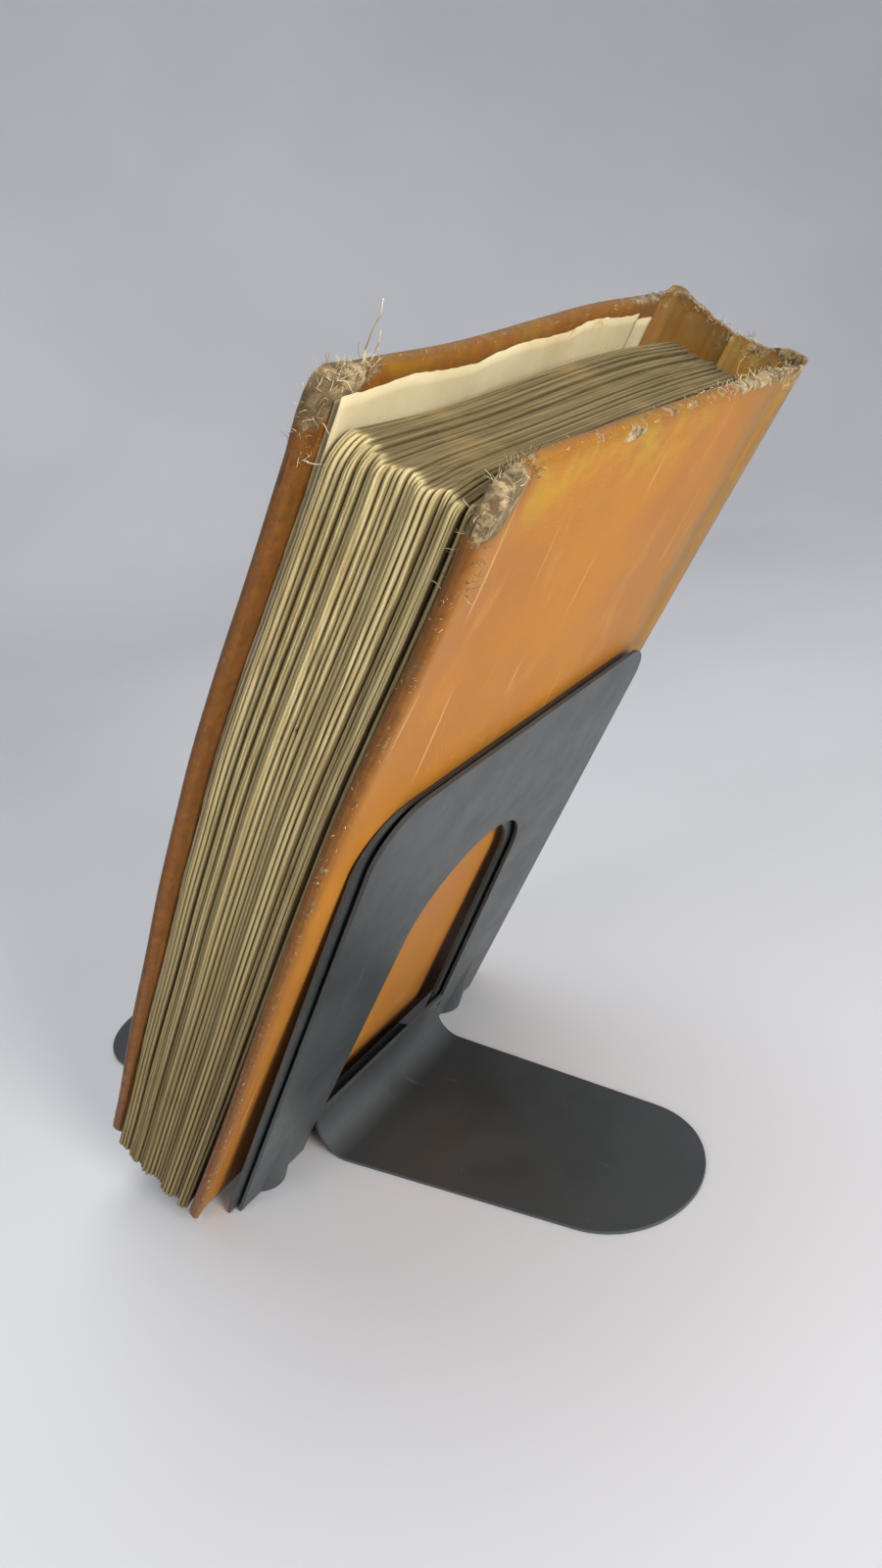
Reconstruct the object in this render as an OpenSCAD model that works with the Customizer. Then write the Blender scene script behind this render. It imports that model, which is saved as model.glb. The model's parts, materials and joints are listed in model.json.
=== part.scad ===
// A cloth-bound album leaning on two nested sheet-steel bookends.
// X runs along the bookend tongues, Y along the fold lines from the album's fore edge to its spine, Z is up.
// The origin is on the floor at the middle of the whole assembly's outline.

/* [Bookend] */
// Width of the upright plate
plate_w = 120; // [100:1:140]
// Length of the plate up its slope
plate_h = 160; // [140:1:190]
// Thickness of the steel sheet
sheet_t = 1; // [0.8:0.1:1.4]
// Radius of the plate's upper corners
corner_r = 14; // [6:1:25]
// Length of the floor tongue from the fold line
tongue_len = 114; // [95:1:130]
// Width of the tongue at the fold line
tongue_root_w = 66; // [56:1:74]
// Width of the tongue where its round end starts
tongue_tip_w = 51; // [40:1:54]
// Height of the closed crown left above the plate's arched opening
crown_h = 39; // [30:1:50]
// Inner radius of the bend between plate and tongue
bend_r = 8; // [5:0.5:12]
// Height up the plate of the flat web between bend and opening
web_h = 4; // [2:0.5:8]
// Gap cut between the bend and each leg
kerf = 0.4; // [0.2:0.1:1]
// Height of the stamped rib at each foot
rib_h = 30; // [20:1:40]
// Depth of the rib at the floor
rib_depth = 3; // [2:0.25:4]
// Radius of the rib's round section at the floor
rib_r = 6; // [5:0.5:8]

/* [Stand] */
// Lean of both plates from upright
plate_lean = 34; // [26:1:38]
// Further lean of the album, which rests on the plates' top edge
lean_more = 2; // [1:0.5:6]
// Gap between the two nested plates
nest_gap = 1.2; // [0.6:0.1:2.5]
// Sideways offset of the inner bookend towards the fore edge
nest_offset = 2; // [0:0.5:8]

/* [Album] */
// Height of the covers
cover_h = 240; // [210:1:270]
// Depth of the album from fore edge to spine
album_d = 142; // [130:1:160]
// Thickness of the closed album over its covers
album_t = 40; // [34:0.5:46]
// Thickness of a cover board
board_t = 2.6; // [2:0.1:3.2]
// Thickness of the book cloth
cloth_t = 0.4; // [0.3:0.1:0.6]
// Width of the cloth turned in over the board edges
turn_in = 15; // [10:1:20]
// Width of each hinge groove between board and spine
joint_w = 14; // [11:0.5:18]
// Thickness of the card inside the spine
spine_card_t = 1.2; // [0.8:0.1:1.6]
// Thickness of a pastedown and of a flyleaf
paper_t = 0.25; // [0.2:0.05:0.4]

/* [Pages] */
// Distance of the leaves' head from the covers' head
head_square = 6.7; // [3:0.1:10]
// Distance of the leaves' fore edge from the covers' fore edge
fore_inset = 3; // [2:0.5:6]
// Depth of the open hollow behind the leaves
hollow_d = 22; // [18:0.5:28]
// Thickness of the stack of leaves at the spine
stack_spine_t = 22; // [18:0.5:26]
// Number of sewn sections, of which all but the first turn
sections = 8; // [8]
// Number of thick leaves in each section
section_leaves = 3; // [3]
// Gap between neighbouring leaves of a section
leaf_gap = 0.15; // [0.1:0.05:0.25]
// Largest turn of the last section as the far cover opens
fan_max = 40; // [20:1:45]

/* [Fit] */
// Clearance between parts that move past each other
clear = 0.3; // [0.2:0.05:0.5]
// Clearance between papers that lie on each other
paper_clear = 0.2; // [0.15:0.05:0.3]

/* [Hidden] */
$fn = 96;
steel_colour = [0.33, 0.36, 0.37];
cloth_colour = [0.80, 0.52, 0.18];
board_colour = [0.50, 0.38, 0.24];
paper_colour = [0.86, 0.80, 0.64];
leaf_colours = [[0.72, 0.66, 0.50], [0.64, 0.58, 0.43]];
mull_colour = [0.78, 0.74, 0.64];

// The tongue's outline: straight sides that meet the round end on a tangent.
end_r = tongue_tip_w / 2;
end_centre = tongue_len - end_r;
taper = atan((tongue_root_w / 2 - end_r) / end_centre);
side_top = end_centre + end_r * sin(taper);
function half_width(run) =
    tongue_root_w / 2 - (tongue_root_w / 2 - end_r * cos(taper)) * run / side_top;

// The inner bookend's faces, counted from the outer plate's front face towards the album.
inner_face = sheet_t + nest_gap;
inner_back = inner_face + sheet_t;

// Height up the plate of the top of its opening.
opening_top = plate_h - crown_h;

// Bend centres and where each bend meets its plate.
bend_z = sheet_t + bend_r;
outer_bend_x = (bend_r + bend_z * sin(plate_lean)) / cos(plate_lean);
inner_bend_x = -(inner_back + bend_r - bend_z * sin(plate_lean)) / cos(plate_lean);
outer_bend_top = outer_bend_x * sin(plate_lean) + bend_z * cos(plate_lean);
inner_bend_top = inner_bend_x * sin(plate_lean) + bend_z * cos(plate_lean);
inner_fold_x = -inner_back / cos(plate_lean);
// The inner plate stands this much lower along its slope, so that its foot also meets the floor.
inner_drop = inner_back * tan(plate_lean);
// Overlap that joins a bend to its plate and its tongue.
lap = 0.2;

// The album rests its lower near edge above the inner tongue and its near cover on the inner plate's top edge.
album_lean = plate_lean + lean_more;
rest_z = sheet_t + clear;
inner_top = plate_h - inner_drop;
touch_x = inner_top * sin(plate_lean) - (inner_back + clear) * cos(plate_lean);
touch_z = inner_top * cos(plate_lean) + (inner_back + clear) * sin(plate_lean);
rest_x = touch_x - (touch_z - rest_z) * tan(album_lean);

// Middle of the whole outline, which becomes X = 0.
high_x = max(rest_x + cover_h * sin(album_lean), tongue_len);
low_x = min(inner_fold_x - tongue_len,
            rest_x - album_t * cos(album_lean));
mid_x = (high_x + low_x) / 2;

// Layers of a cover, counted inwards from its outer face.
board_in = cloth_t + board_t;
turned_in = board_in + cloth_t;
lining_in = turned_in + paper_t;
board_end = album_d - joint_w;
hinge_gap = 1;
hinge_y = board_end + hinge_gap;
wing_start = hinge_y + 1.5;

// The stack of leaves.
stack_near = lining_in + 2 * paper_clear + paper_t;
stack_far = album_t - stack_near;
stack_fore_t = stack_far - stack_near;
spine_end = album_d - hollow_d - cloth_t - spine_card_t;
leaf_low = clear;
leaf_h = cover_h - leaf_low - head_square;
fore_pitch = stack_fore_t / sections;
spine_pitch = stack_spine_t / sections;
fore_thick = fore_pitch - paper_clear;
spine_thick = spine_pitch * cos(fan_max) - paper_clear;
leaf_count = sections * section_leaves;
spine_lining_y = spine_end + spine_thick + clear;
spine_lining_t = 0.8;

function leaf_name(i) = str("leaf_", i < 10 ? "0" : "", i);

module arch(low, top, grow) {
    // An arch with the tongue's own taper and round head.
    centre = top - end_r;
    difference() {
        union() {
            translate([0, centre]) circle(r = end_r + grow);
            polygon([[-tongue_root_w / 2 - grow, 0], [tongue_root_w / 2 + grow, 0],
                     [(end_r + grow) * cos(taper), centre + (end_r + grow) * sin(taper)],
                     [-(end_r + grow) * cos(taper), centre + (end_r + grow) * sin(taper)]]);
        }
        translate([-plate_w, low - 2 * plate_h]) square([2 * plate_w, 2 * plate_h]);
    }
}

module plate_outline(bend_top) {
    // The legs run a little past the floor line, where the floor then trims them.
    extra = 2 * sheet_t;
    difference() {
        union() {
            translate([-plate_w / 2, -extra]) square([plate_w, plate_h - corner_r + extra]);
            translate([-plate_w / 2 + corner_r, -extra]) square([plate_w - 2 * corner_r, plate_h + extra]);
            for (side = [-1, 1])
                translate([side * (plate_w / 2 - corner_r), plate_h - corner_r]) circle(r = corner_r);
        }
        arch(bend_top + web_h, opening_top, 0);
        translate([-tongue_root_w / 2, -2 * extra]) square([tongue_root_w, bend_top + 2 * extra - lap]);
    }
}

module rib_cone(inset) {
    // The stamped rib's round section, narrowing upwards until it sinks into the plate.
    sunk = rib_r - rib_depth;
    translate([-sunk, 0, -rib_depth])
        cylinder(h = rib_h + rib_depth, r1 = rib_r + rib_depth * rib_depth / rib_h - inset,
                 r2 = sunk - inset);
}

module plate(bend_top) {
    // The front face is the plane X = 0 and the ribs stand out in +X.
    rib_y = (plate_w + tongue_root_w) / 4;
    difference() {
        union() {
            translate([-sheet_t, 0, 0]) rotate([90, 0, 90])
                linear_extrude(height = sheet_t) plate_outline(bend_top);
            for (side = [-1, 1]) intersection() {
                translate([0, side * rib_y, 0]) rib_cone(0);
                translate([-sheet_t / 2, side * rib_y - 2 * rib_r, 0]) cube([4 * rib_r, 4 * rib_r, rib_h]);
            }
        }
        for (side = [-1, 1]) translate([0, side * rib_y, 0]) rib_cone(sheet_t);
    }
}

module tongue_flat(start) {
    // A flat tongue along +X, from the end of its bend to its round tip.
    linear_extrude(height = sheet_t) union() {
        polygon([[start - lap, half_width(start) - kerf], [side_top, end_r * cos(taper)],
                 [side_top, -end_r * cos(taper)], [start - lap, -half_width(start) + kerf]]);
        translate([end_centre, 0]) circle(r = end_r);
    }
}

module bend(centre_x, start, span, width) {
    translate([centre_x, 0, bend_z]) rotate([90, 0, 0]) rotate([0, 0, start])
        rotate_extrude(angle = span) translate([bend_r, -width / 2]) square([sheet_t, width]);
}

module outer_bookend() {
    color(steel_colour) translate([-mid_x, 0, 0]) union() {
        intersection() {
            rotate([0, plate_lean, 0]) plate(outer_bend_top);
            translate([-2 * plate_h, -plate_w, 0]) cube([4 * plate_h, 2 * plate_w, 2 * plate_h]);
        }
        bend(outer_bend_x, 180 - plate_lean, 90 + plate_lean,
             2 * (half_width(outer_bend_x) - kerf));
        tongue_flat(outer_bend_x);
    }
}

module inner_bookend() {
    color(steel_colour) translate([-mid_x, -nest_offset, 0]) union() {
        intersection() {
            rotate([0, plate_lean, 0]) translate([-inner_back, 0, -inner_drop])
                mirror([1, 0, 0]) plate(inner_bend_top + inner_drop);
            translate([-2 * plate_h, -plate_w, 0]) cube([4 * plate_h, 2 * plate_w, 2 * plate_h]);
        }
        bend(inner_bend_x, 270, 90 - plate_lean,
             2 * (half_width(inner_fold_x - inner_bend_x) - kerf));
        translate([inner_fold_x, 0, 0]) mirror([1, 0, 0]) tongue_flat(inner_fold_x - inner_bend_x);
    }
}

module in_album() {
    // Album axes: -X is its thickness away from the bookends, +Y runs to the spine, +Z to the head.
    translate([rest_x - mid_x, -album_d / 2, rest_z]) rotate([0, album_lean, 0]) children();
}

module slab(t0, t1, y0, y1, z0, z1) {
    // A block between two thicknesses, two depths and two heights of the album.
    translate([-t1, y0, z0]) cube([t1 - t0, y1 - y0, z1 - z0]);
}

module cover_side(far) {
    // The far cover is the near one seen in a mirror halfway through the album.
    if (far) translate([-album_t, 0, 0]) mirror([1, 0, 0]) children();
    else children();
}

module board(far) {
    color(board_colour) in_album() cover_side(far)
        slab(cloth_t, board_in, cloth_t, board_end, cloth_t, cover_h - cloth_t);
}

module cover_cloth(far) {
    color(cloth_colour) in_album() cover_side(far) difference() {
        slab(0, turned_in, 0, board_end, 0, cover_h);
        slab(cloth_t, board_in, cloth_t, board_end + 1, cloth_t, cover_h - cloth_t);
        slab(board_in - 0.01, turned_in + 1, turn_in, board_end + 1, turn_in, cover_h - turn_in);
    }
}

module mull(far) {
    // Open-weave hinge cloth glued to the board beside the joint, under the pastedown.
    color(mull_colour) in_album() cover_side(far)
        slab(board_in, turned_in, board_end - 2 * turn_in, board_end, turn_in, cover_h - turn_in);
}

module pastedown(far) {
    edge = turn_in / 4;
    color(paper_colour) in_album() cover_side(far)
        slab(turned_in, lining_in, edge, board_end, edge, cover_h - edge);
}

module flyleaf(far) {
    start = lining_in + paper_clear;
    color(paper_colour) in_album() cover_side(far)
        slab(start, start + paper_t, fore_inset, spine_end, leaf_low, leaf_low + leaf_h);
}

module wing(far) {
    // The free strip of book cloth that bends between a cover and the spine.
    color(cloth_colour) in_album() cover_side(far)
        slab(0, cloth_t, wing_start, album_d - cloth_t, 0, cover_h);
}

module spine_cloth() {
    wrap = cloth_t + spine_card_t;
    color(cloth_colour) in_album() union() {
        slab(0, album_t, album_d - cloth_t, album_d, 0, cover_h);
        for (end = [0, cover_h - cloth_t])
            slab(cloth_t, album_t - cloth_t, album_d - wrap - cloth_t, album_d - cloth_t, end, end + cloth_t);
        for (end = [0, cover_h - turn_in])
            slab(cloth_t, album_t - cloth_t, album_d - wrap - cloth_t, album_d - wrap, end, end + turn_in);
    }
}

module spine_card() {
    color(board_colour) in_album()
        slab(cloth_t, album_t - cloth_t, album_d - cloth_t - spine_card_t, album_d - cloth_t,
             cloth_t, cover_h - cloth_t);
}

module spine_lining() {
    color(mull_colour) in_album()
        slab(stack_near, stack_near + stack_spine_t, spine_lining_y, spine_lining_y + spine_lining_t,
             leaf_low, leaf_low + leaf_h);
}

module leaf(i) {
    // One thick leaf: it thins towards the spine, so that turned sections never bind there.
    section = floor((i - 1) / section_leaves);
    place = (i - 1) % section_leaves;
    fore_mid = stack_near + (section + 0.5) * fore_pitch;
    spine_mid = stack_near + (section + 0.5) * spine_pitch;
    fore_step = fore_thick / section_leaves;
    spine_step = spine_thick / section_leaves;
    fore_low = fore_mid - fore_thick / 2 + place * fore_step + leaf_gap / 2;
    spine_low = spine_mid - spine_thick / 2 + place * spine_step + leaf_gap / 2;
    color(leaf_colours[i % 2]) in_album() translate([0, 0, leaf_low]) linear_extrude(height = leaf_h)
        polygon([[-fore_low, fore_inset], [-fore_low - fore_step + leaf_gap, fore_inset],
                 [-spine_low - spine_step + leaf_gap, spine_end], [-spine_low, spine_end]]);
}

outer_bookend();
inner_bookend();
board(false);  // near_board
cover_cloth(false);  // near_cloth
mull(false);  // near_mull
pastedown(false);  // near_pastedown
board(true);  // far_board
cover_cloth(true);  // far_cloth
mull(true);  // far_mull
pastedown(true);  // far_pastedown
flyleaf(true);  // far_flyleaf
wing(false);  // near_wing
wing(true);  // far_wing
spine_cloth();
spine_card();
spine_lining();
flyleaf(false);  // near_flyleaf
for (i = [1 : leaf_count]) leaf(i);
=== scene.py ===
import json
import math

import bmesh
import bpy
import numpy as np
from mathutils import Matrix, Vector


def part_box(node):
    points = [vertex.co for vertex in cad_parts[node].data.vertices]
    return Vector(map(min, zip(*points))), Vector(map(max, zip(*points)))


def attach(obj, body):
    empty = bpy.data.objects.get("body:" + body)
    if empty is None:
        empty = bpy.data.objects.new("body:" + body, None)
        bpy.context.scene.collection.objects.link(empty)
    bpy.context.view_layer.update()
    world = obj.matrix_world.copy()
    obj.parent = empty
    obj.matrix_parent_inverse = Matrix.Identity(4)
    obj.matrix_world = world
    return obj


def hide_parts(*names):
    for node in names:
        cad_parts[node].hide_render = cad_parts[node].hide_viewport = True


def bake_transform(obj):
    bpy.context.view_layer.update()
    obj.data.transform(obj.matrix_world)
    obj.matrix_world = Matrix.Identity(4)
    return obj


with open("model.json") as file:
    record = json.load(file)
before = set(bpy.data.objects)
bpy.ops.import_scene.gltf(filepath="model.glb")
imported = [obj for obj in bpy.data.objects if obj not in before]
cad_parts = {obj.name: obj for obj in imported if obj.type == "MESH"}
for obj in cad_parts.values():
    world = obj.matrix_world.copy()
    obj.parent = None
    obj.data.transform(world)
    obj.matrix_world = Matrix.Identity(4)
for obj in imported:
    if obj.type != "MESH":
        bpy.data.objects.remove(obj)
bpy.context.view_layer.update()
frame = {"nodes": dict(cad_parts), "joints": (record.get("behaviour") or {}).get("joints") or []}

MM = 0.001

# ---------------------------------------------------------------- album frame
# Album coordinates in mm: u is the thickness away from the bookends, v runs from the fore edge to the spine,
# w runs from the tail up to the head.
HINGE = {j["name"]: j for j in frame["joints"]}
TILT = HINGE["album_tilt"]["pos_m"]
AXIS = HINGE["near_joint"]["axis"]
SIN_L, COS_L = abs(AXIS[0]), abs(AXIS[2])
ALBUM_D = (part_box("spine_cloth")[1].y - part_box("near_cloth")[0].y) / MM
ALBUM_T = 40.0
COVER_H = 240.0
BOARD_END = 128.0
SKIN = 3.4            # cloth, board and turned-in cloth together
SPINE_START = 139.0   # depth where the back turns across the block
SPINE_MID = 19.2      # thickness where the two cloths meet on the back
STACK_NEAR = 4.3      # the stack of leaves starts here, at both ends of its depth
STACK_FORE_T = 31.4
STACK_SPINE_T = 22.0
STACK_D = 118.4
LEAF_NEAR, LEAF_FAR = 3.65, 36.35   # the room between the covers' endpapers
LEAF_FILL = 0.74      # share of a section's pitch its leaves fill at the spine
SECTIONS, SECTION_LEAVES = 8, 3
ORIGIN = np.array([TILT[0], TILT[1] - ALBUM_D / 2 * MM, TILT[2]])


def to_world(a):
    """Album coordinates in mm to metres in the row frame."""
    a = np.asarray(a, float)
    u, v, w = a[..., 0] * MM, a[..., 1] * MM, a[..., 2] * MM
    return np.stack([ORIGIN[0] - u * COS_L + w * SIN_L, ORIGIN[1] + v,
                     ORIGIN[2] + u * SIN_L + w * COS_L], -1)


def ss(x, a, b):
    t = np.clip((np.asarray(x, float) - a) / (b - a), 0, 1)
    return t * t * (3 - 2 * t)


class Noise:
    """Smooth seeded noise: a sum of sines with random directions."""

    def __init__(self, seed, dims=3, octaves=5, base=1.0, gain=0.6):
        rng = np.random.default_rng(seed)
        self.k, self.p, self.a = [], [], []
        for o in range(octaves):
            for _ in range(4):
                d = rng.normal(size=dims)
                d /= np.linalg.norm(d)
                self.k.append(d * base * 2 ** o * rng.uniform(0.7, 1.4))
                self.p.append(rng.uniform(0, 2 * math.pi))
                self.a.append(gain ** o)
        self.norm = sum(self.a) * 0.5

    def __call__(self, *c):
        c = [np.asarray(x, float) for x in c]
        out = 0
        for k, p, a in zip(self.k, self.p, self.a):
            out = out + a * np.sin(sum(k[i] * c[i] for i in range(len(c))) + p)
        return out / self.norm


# ---------------------------------------------------------------- mesh helpers
def new_object(name, verts, faces, alb=None, attrs=None, smooth=True):
    mesh = bpy.data.meshes.new(name)
    mesh.from_pydata([tuple(p) for p in verts], [], [tuple(int(i) for i in f) for f in faces])
    mesh.validate()
    if alb is not None:
        a = mesh.attributes.new("alb", "FLOAT_VECTOR", "POINT")
        a.data.foreach_set("vector", (np.asarray(alb, np.float32) * MM).ravel())
    for key, values in (attrs or {}).items():
        a = mesh.attributes.new(key, "FLOAT", "POINT")
        a.data.foreach_set("value", np.asarray(values, np.float32).ravel())
    if smooth:
        mesh.polygons.foreach_set("use_smooth", [True] * len(mesh.polygons))
    mesh.update()
    ob = bpy.data.objects.new(name, mesh)
    bpy.context.scene.collection.objects.link(ob)
    return ob


def strip_faces(n, m, offset=0, close_n=False, flip=False):
    """Quads of an n by m grid whose index is i * m + j."""
    faces = []
    for i in range(n if close_n else n - 1):
        for j in range(m - 1):
            a, b = i * m + j, (i + 1) % n * m + j
            q = (a, b, b + 1, a + 1)
            faces.append(tuple(offset + x for x in (q[::-1] if flip else q)))
    return faces


def tubes(name, paths, radius, sides=4):
    """Thin fibres as one mesh of closed tubes; paths are lists of album points in mm."""
    verts, faces, base = [], [], 0
    for path, r0 in zip(paths, radius):
        path = np.asarray(path, float)
        n = len(path)
        tangent = np.gradient(path, axis=0)
        tangent /= np.linalg.norm(tangent, axis=1)[:, None] + 1e-9
        side = np.cross(tangent, [0.31, 0.52, 0.8])
        side /= np.linalg.norm(side, axis=1)[:, None] + 1e-9
        up = np.cross(tangent, side)
        taper = np.linspace(1, 0.45, n)[:, None] * r0
        for k in range(sides):
            t = 2 * math.pi * k / sides
            verts.append(path + taper * (side * math.cos(t) + up * math.sin(t)))
        for k in range(sides):
            for i in range(n - 1):
                a, b = base + k * n + i, base + ((k + 1) % sides) * n + i
                faces.append((a, b, b + 1, a + 1))
        faces.append(tuple(base + k * n for k in range(sides))[::-1])
        faces.append(tuple(base + k * n + n - 1 for k in range(sides)))
        base += sides * n
    alb = np.concatenate(verts)
    return new_object(name, to_world(alb), faces, alb)


def outward_normals(ob):
    """Turns every face outwards."""
    bm = bmesh.new()
    bm.from_mesh(ob.data)
    bmesh.ops.recalc_face_normals(bm, faces=bm.faces)
    bm.to_mesh(ob.data)
    bm.free()
    return ob


# ---------------------------------------------------------------- warps of the old album
wob_near, wob_far = Noise(3, 2, 3, 0.035), Noise(8, 2, 3, 0.035)


def warp_near(v, w):
    """How far the near cover leaves its flat place: its fore edge curls outwards, least at the plates' top."""
    depth = 1.8 * (1 - ss(w, 40, 150)) + 3.2 * ss(w, 150, 235)
    reach = 4.2 + 8.0 * ss(w, 158, 225)
    return -depth * np.exp(-(v / reach) ** 2) + 0.25 * ss(w, 170, 220) * wob_near(v, w)


def warp_far(v, w):
    """The far cover is pressed in, most of all at its head and towards its fore edge."""
    side = 1 - ss(v, 25, 108)
    return (-1.6 - 1.8 * (1 - ss(w, 0, 70)) * side - 0.5 * side
            - 5.0 * ss(w, 150, 245) * side + 0.3 * wob_far(v, w))


# ---------------------------------------------------------------- node materials
def material(name):
    m = bpy.data.materials.new(name)
    m.use_nodes = True
    nt = m.node_tree
    nt.nodes.clear()
    out = nt.nodes.new("ShaderNodeOutputMaterial")
    bsdf = nt.nodes.new("ShaderNodeBsdfPrincipled")
    nt.links.new(bsdf.outputs[0], out.inputs[0])
    return m, nt, bsdf


class G:
    """Short calls for building a node tree."""

    def __init__(self, nt):
        self.nt = nt

    def put(self, socket, value):
        if value is None:
            return
        if hasattr(value, "is_linked") or hasattr(value, "links"):
            self.nt.links.new(value, socket)
        else:
            socket.default_value = value

    def attr(self, name, out="Fac"):
        n = self.nt.nodes.new("ShaderNodeAttribute")
        n.attribute_name = name
        return n.outputs[out]

    def obj(self):
        return self.nt.nodes.new("ShaderNodeTexCoord").outputs["Object"]

    def mapping(self, vec, scale=(1, 1, 1), rot=(0, 0, 0), loc=(0, 0, 0)):
        n = self.nt.nodes.new("ShaderNodeMapping")
        self.put(n.inputs["Vector"], vec)
        n.inputs["Scale"].default_value = scale
        n.inputs["Rotation"].default_value = rot
        n.inputs["Location"].default_value = loc
        return n.outputs[0]

    def noise(self, vec, scale, detail=4, rough=0.55, distortion=0.0):
        n = self.nt.nodes.new("ShaderNodeTexNoise")
        self.put(n.inputs["Vector"], vec)
        n.inputs["Scale"].default_value = scale
        n.inputs["Detail"].default_value = detail
        n.inputs["Roughness"].default_value = rough
        n.inputs["Distortion"].default_value = distortion
        return n.outputs["Fac"]

    def wave(self, vec, scale, axis="X", distortion=0.0, detail=2, dscale=1.0):
        n = self.nt.nodes.new("ShaderNodeTexWave")
        n.wave_type = "BANDS"
        n.bands_direction = axis
        self.put(n.inputs["Vector"], vec)
        n.inputs["Scale"].default_value = scale
        n.inputs["Distortion"].default_value = distortion
        n.inputs["Detail"].default_value = detail
        n.inputs["Detail Scale"].default_value = dscale
        return n.outputs["Fac"]

    def voronoi(self, vec, scale, out="Distance"):
        n = self.nt.nodes.new("ShaderNodeTexVoronoi")
        self.put(n.inputs["Vector"], vec)
        n.inputs["Scale"].default_value = scale
        return n.outputs[out]

    def math(self, op, a, b=None, clamp=False):
        n = self.nt.nodes.new("ShaderNodeMath")
        n.operation = op
        n.use_clamp = clamp
        self.put(n.inputs[0], a)
        if b is not None:
            self.put(n.inputs[1], b)
        return n.outputs[0]

    def step(self, value, lo, hi, a=0.0, b=1.0):
        n = self.nt.nodes.new("ShaderNodeMapRange")
        n.interpolation_type = "SMOOTHSTEP"
        self.put(n.inputs["Value"], value)
        n.inputs["From Min"].default_value = lo
        n.inputs["From Max"].default_value = hi
        n.inputs["To Min"].default_value = a
        n.inputs["To Max"].default_value = b
        return n.outputs["Result"]

    def mix(self, fac, a, b):
        n = self.nt.nodes.new("ShaderNodeMix")
        n.data_type = "RGBA"
        n.clamp_factor = True
        self.put(n.inputs["Factor"], fac)
        self.put(n.inputs[6], a)
        self.put(n.inputs[7], b)
        return n.outputs[2]

    def bump(self, height, distance, strength=1.0):
        n = self.nt.nodes.new("ShaderNodeBump")
        n.inputs["Strength"].default_value = strength
        n.inputs["Distance"].default_value = distance
        self.put(n.inputs["Height"], height)
        return n.outputs[0]


def rgb(r, g, b):
    """An sRGB colour, 0 to 255, as linear RGBA."""
    def lin(c):
        c = c / 255
        return c / 12.92 if c <= 0.04045 else ((c + 0.055) / 1.055) ** 2.4
    return (lin(r), lin(g), lin(b), 1.0)


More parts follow.
